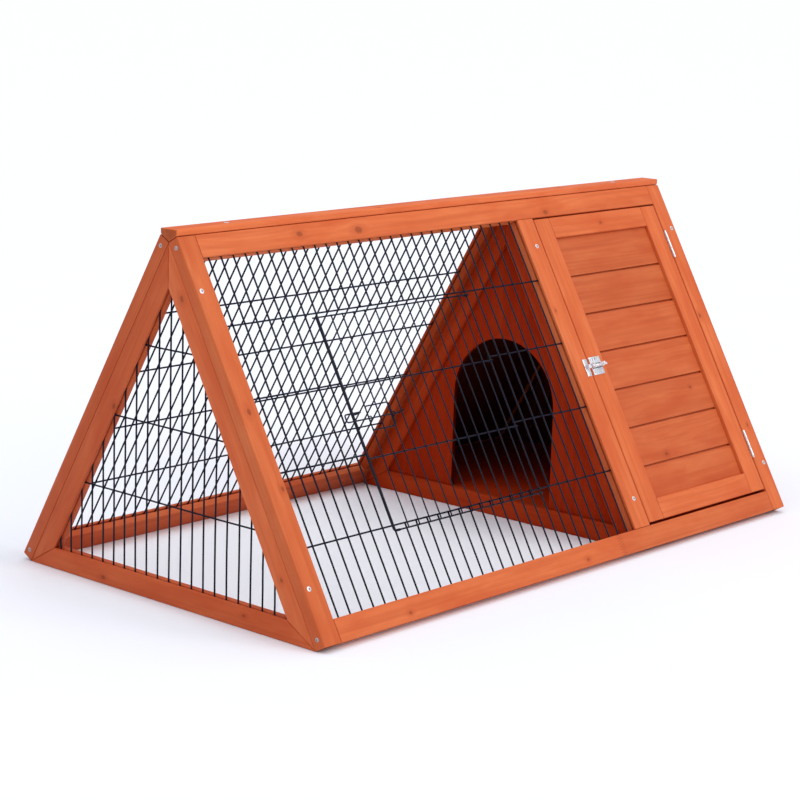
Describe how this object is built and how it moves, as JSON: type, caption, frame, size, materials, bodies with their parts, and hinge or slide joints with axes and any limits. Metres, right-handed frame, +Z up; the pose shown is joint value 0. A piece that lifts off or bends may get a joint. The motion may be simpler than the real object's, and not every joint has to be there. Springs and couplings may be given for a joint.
{
  "type": "chicken coop",
  "caption": "A-frame timber coop with a wire mesh run, a hinged wire door and a boarded nest box with its own hinged door.",
  "frame": {"origin": "on the ground under the middle of the ridge, halfway between the two end frames", "axes": "+X along the ridge towards the nest box, -Y towards the side with the doors, +Z up"},
  "size_m": [1.2, 0.6674, 0.57],
  "materials": {
    "stained_wood": "planed softwood with an orange-red translucent stain, satin",
    "stained_board": "thin stained board, satin, darker inside the nest box",
    "black_wire": "black coated welded steel wire, satin",
    "zinc_plate": "bright zinc plated steel"
  },
  "bodies": {
    "frame": {"back_bottom_rail": "stained_wood", "back_mesh": "black_wire", "back_middle_post": "stained_wood", "back_stile_left": "stained_wood", "back_stile_right": "stained_wood", "back_top_rail": "stained_wood", "end_bottom_rail": "stained_wood", "end_mesh": "black_wire", "end_rafter_back": "stained_wood", "end_rafter_front": "stained_wood", "front_bottom_rail": "stained_wood", "front_mesh_left": "black_wire", "front_mesh_over_door": "black_wire", "front_mesh_right": "black_wire", "front_mesh_under_door": "black_wire", "front_middle_post": "stained_wood", "front_stile_left": "stained_wood", "front_stile_right": "stained_wood", "front_top_rail": "stained_wood", "nest_back_board_1": "stained_wood", "nest_back_board_2": "stained_wood", "nest_back_board_3": "stained_wood", "nest_back_board_4": "stained_wood", "nest_end_board_1": "stained_wood", "nest_end_board_2": "stained_wood", "nest_end_board_3": "stained_wood", "nest_end_bottom_rail": "stained_wood", "nest_end_rafter_back": "stained_wood", "nest_end_rafter_front": "stained_wood", "nest_floor": "stained_board", "nest_hinge_lower_fixed_leaf": "zinc_plate", "nest_hinge_lower_pin": "zinc_plate", "nest_hinge_upper_fixed_leaf": "zinc_plate", "nest_hinge_upper_pin": "zinc_plate", "nest_latch_keeper": "zinc_plate", "partition_board": "stained_board", "partition_bottom_rail": "stained_wood", "partition_rafter_back": "stained_wood", "partition_rafter_front": "stained_wood", "ridge_cap": "stained_wood"},
    "nest_door": {"nest_door_bottom_rail": "stained_wood", "nest_door_plank_1": "stained_wood", "nest_door_plank_2": "stained_wood", "nest_door_plank_3": "stained_wood", "nest_door_plank_4": "stained_wood", "nest_door_plank_5": "stained_wood", "nest_door_plank_6": "stained_wood", "nest_door_plank_7": "stained_wood", "nest_door_stile_hinge": "stained_wood", "nest_door_stile_latch": "stained_wood", "nest_door_top_rail": "stained_wood", "nest_hinge_lower_door_leaf": "zinc_plate", "nest_hinge_upper_door_leaf": "zinc_plate", "nest_latch_plate": "zinc_plate"},
    "nest_bolt": {"nest_latch_bolt": "zinc_plate"},
    "wire_door": {"wire_door": "black_wire", "wire_door_latch_guide": "black_wire"},
    "wire_latch": {"wire_door_latch": "black_wire"}
  },
  "joints": [
    {"name": "nest_door_hinge", "type": "hinge", "parent": "frame", "child": "nest_door", "pos_m": [0.5632, -0.33562, 0.01154], "axis": [0, 0.4976, 0.8674], "range_deg": [0, 160]},
    {"name": "nest_bolt_slide", "type": "slide", "parent": "nest_door", "child": "nest_bolt", "axis": [1, 0, 0], "range_m": [-0.012, 0]},
    {"name": "wire_door_hinge", "type": "hinge", "parent": "frame", "child": "wire_door", "pos_m": [-0.0235, -0.32808, 0.00722], "axis": [0, 0.4976, 0.8674], "range_deg": [0, 115]},
    {"name": "wire_latch_slide", "type": "slide", "parent": "wire_door", "child": "wire_latch", "axis": [1, 0, 0], "range_m": [-0.006, 0]}
  ]
}
